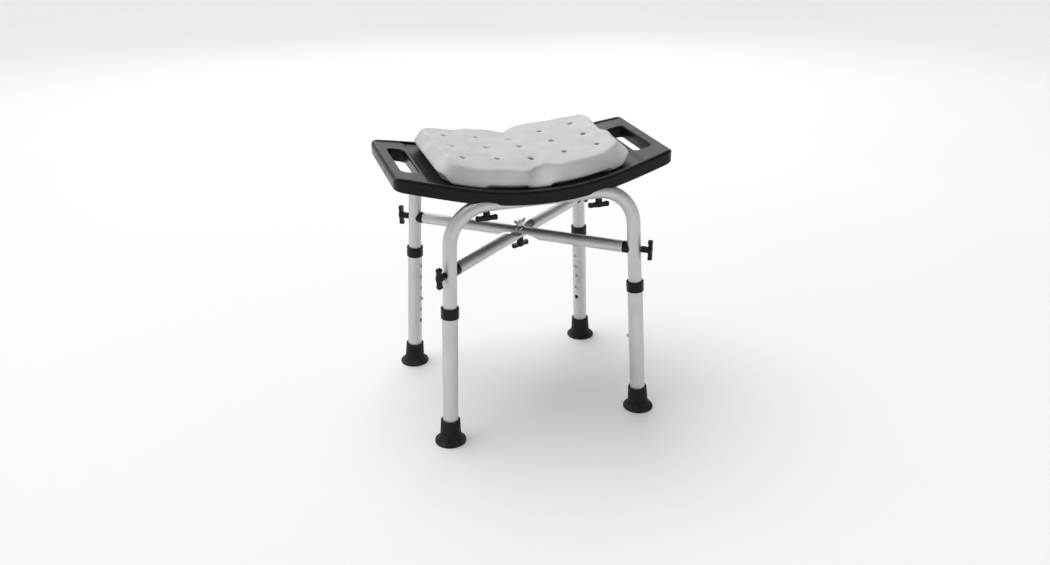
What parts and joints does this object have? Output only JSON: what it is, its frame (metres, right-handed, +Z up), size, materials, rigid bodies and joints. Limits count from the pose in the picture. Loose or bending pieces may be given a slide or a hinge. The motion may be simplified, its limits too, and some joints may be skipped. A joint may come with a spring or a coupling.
{
  "type": "shower chair",
  "caption": "Backless shower bench with a bowed black plastic seat, hand-holes, grey foam cushion and splayed aluminium legs that slide to set the height.",
  "frame": {"origin": "on the floor under the middle of the bench, between the four feet", "axes": "+Z up, X along the long side of the seat, the sitter faces -Y"},
  "size_m": [0.514, 0.3792, 0.531],
  "materials": {
    "seat_plastic": "lightly textured satin black",
    "foam": "light grey closed-cell foam",
    "anodised_aluminium": "satin clear anodised",
    "collar_plastic": "satin black",
    "foot_rubber": "matt black",
    "knob_plastic": "satin black",
    "zinc_steel": "bright zinc plated",
    "insert_brass": "machined"
  },
  "bodies": {
    "frame": {"bench_seat": "seat_plastic", "front_frame_tube": "anodised_aluminium", "rear_frame_tube": "anodised_aluminium", "upper_brace": "anodised_aluminium", "lower_brace": "anodised_aluminium", "brace_cap_inserts": "insert_brass", "seat_inserts": "insert_brass", "curved_washer": "zinc_steel", "brace_cap_front_left": "collar_plastic", "brace_cap_front_right": "collar_plastic", "brace_cap_rear_left": "collar_plastic", "brace_cap_rear_right": "collar_plastic"},
    "leg_front_left": {"leg_tube_front_left": "anodised_aluminium", "leg_collar_front_left": "collar_plastic", "foot_front_left": "foot_rubber"},
    "leg_front_right": {"leg_tube_front_right": "anodised_aluminium", "leg_collar_front_right": "collar_plastic", "foot_front_right": "foot_rubber"},
    "leg_rear_left": {"leg_tube_rear_left": "anodised_aluminium", "leg_collar_rear_left": "collar_plastic", "foot_rear_left": "foot_rubber"},
    "leg_rear_right": {"leg_tube_rear_right": "anodised_aluminium", "leg_collar_rear_right": "collar_plastic", "foot_rear_right": "foot_rubber"},
    "button_front_left": {"button_clip_front_left": "zinc_steel"},
    "button_front_right": {"button_clip_front_right": "zinc_steel"},
    "button_rear_left": {"button_clip_rear_left": "zinc_steel"},
    "button_rear_right": {"button_clip_rear_right": "zinc_steel"},
    "brace_knob_front_left": {"brace_knob_front_left": "knob_plastic", "brace_stud_front_left": "zinc_steel"},
    "brace_knob_front_right": {"brace_knob_front_right": "knob_plastic", "brace_stud_front_right": "zinc_steel"},
    "brace_knob_rear_left": {"brace_knob_rear_left": "knob_plastic", "brace_stud_rear_left": "zinc_steel"},
    "brace_knob_rear_right": {"brace_knob_rear_right": "knob_plastic", "brace_stud_rear_right": "zinc_steel"},
    "seat_knob_front_left": {"seat_knob_front_left": "knob_plastic", "seat_stud_front_left": "zinc_steel"},
    "seat_knob_front_right": {"seat_knob_front_right": "knob_plastic", "seat_stud_front_right": "zinc_steel"},
    "seat_knob_rear_left": {"seat_knob_rear_left": "knob_plastic", "seat_stud_rear_left": "zinc_steel"},
    "seat_knob_rear_right": {"seat_knob_rear_right": "knob_plastic", "seat_stud_rear_right": "zinc_steel"},
    "middle_knob": {"middle_knob": "knob_plastic", "middle_bolt": "zinc_steel"},
    "wing_nut": {"wing_nut": "zinc_steel"},
    "cushion": {"cushion": "foam"}
  },
  "joints": [
    {"name": "leg_front_left_slide", "type": "slide", "parent": "frame", "child": "leg_front_left", "axis": [0.0459, 0.0449, 0.9979], "range_m": [-0.0762, 0.0508]},
    {"name": "leg_front_right_slide", "type": "slide", "parent": "frame", "child": "leg_front_right", "axis": [-0.0459, 0.0449, 0.9979], "range_m": [-0.0762, 0.0508]},
    {"name": "leg_rear_left_slide", "type": "slide", "parent": "frame", "child": "leg_rear_left", "axis": [0.0459, -0.0449, 0.9979], "range_m": [-0.0762, 0.0508]},
    {"name": "leg_rear_right_slide", "type": "slide", "parent": "frame", "child": "leg_rear_right", "axis": [-0.0459, -0.0449, 0.9979], "range_m": [-0.0762, 0.0508]},
    {"name": "button_front_left_press", "type": "slide", "parent": "frame", "child": "button_front_left", "axis": [-0.7668, -0.6387, 0.064], "range_m": [0, 0.0055], "stiffness_N_per_m": 1500, "springref_m": -0.001, "deforming": ["button_clip_front_left"]},
    {"name": "button_front_right_press", "type": "slide", "parent": "frame", "child": "button_front_right", "axis": [0.7668, -0.6387, 0.064], "range_m": [0, 0.0055], "stiffness_N_per_m": 1500, "springref_m": -0.001, "deforming": ["button_clip_front_right"]},
    {"name": "button_rear_left_press", "type": "slide", "parent": "frame", "child": "button_rear_left", "axis": [-0.7668, 0.6387, 0.064], "range_m": [0, 0.0055], "stiffness_N_per_m": 1500, "springref_m": -0.001, "deforming": ["button_clip_rear_left"]},
    {"name": "button_rear_right_press", "type": "slide", "parent": "frame", "child": "button_rear_right", "axis": [0.7668, 0.6387, 0.064], "range_m": [0, 0.0055], "stiffness_N_per_m": 1500, "springref_m": -0.001, "deforming": ["button_clip_rear_right"]},
    {"name": "brace_knob_front_left_turn", "type": "hinge", "parent": "frame", "child": "brace_knob_front_left", "pos_m": [-0.18501, -0.15421, 0.334], "axis": [-0.7681, -0.6403, 0], "continuous": true},
    {"name": "brace_knob_front_right_turn", "type": "hinge", "parent": "frame", "child": "brace_knob_front_right", "pos_m": [0.18501, -0.15421, 0.334], "axis": [0.7681, -0.6403, 0], "continuous": true},
    {"name": "brace_knob_rear_left_turn", "type": "hinge", "parent": "frame", "child": "brace_knob_rear_left", "pos_m": [-0.18501, 0.15421, 0.334], "axis": [-0.7681, 0.6403, 0], "continuous": true},
    {"name": "brace_knob_rear_right_turn", "type": "hinge", "parent": "frame", "child": "brace_knob_rear_right", "pos_m": [0.18501, 0.15421, 0.334], "axis": [0.7681, 0.6403, 0], "continuous": true},
    {"name": "seat_knob_front_left_turn", "type": "hinge", "parent": "frame", "child": "seat_knob_front_left", "pos_m": [-0.104, -0.14031, 0.4372], "axis": [0, 0, -1], "continuous": true},
    {"name": "seat_knob_front_right_turn", "type": "hinge", "parent": "frame", "child": "seat_knob_front_right", "pos_m": [0.104, -0.14031, 0.4372], "axis": [0, 0, -1], "continuous": true},
    {"name": "seat_knob_rear_left_turn", "type": "hinge", "parent": "frame", "child": "seat_knob_rear_left", "pos_m": [-0.104, 0.14031, 0.4372], "axis": [0, 0, -1], "continuous": true},
    {"name": "seat_knob_rear_right_turn", "type": "hinge", "parent": "frame", "child": "seat_knob_rear_right", "pos_m": [0.104, 0.14031, 0.4372], "axis": [0, 0, -1], "continuous": true},
    {"name": "middle_knob_turn", "type": "hinge", "parent": "frame", "child": "middle_knob", "pos_m": [0, 0, 0.3226], "axis": [0, 0, -1], "continuous": true},
    {"name": "wing_nut_turn", "type": "hinge", "parent": "frame", "child": "wing_nut", "pos_m": [0, 0, 0.3469], "axis": [0, 0, 1], "continuous": true},
    {"name": "cushion_lift", "type": "slide", "parent": "frame", "child": "cushion", "axis": [0, 0, 1], "range_m": [0, 0.12]}
  ]
}
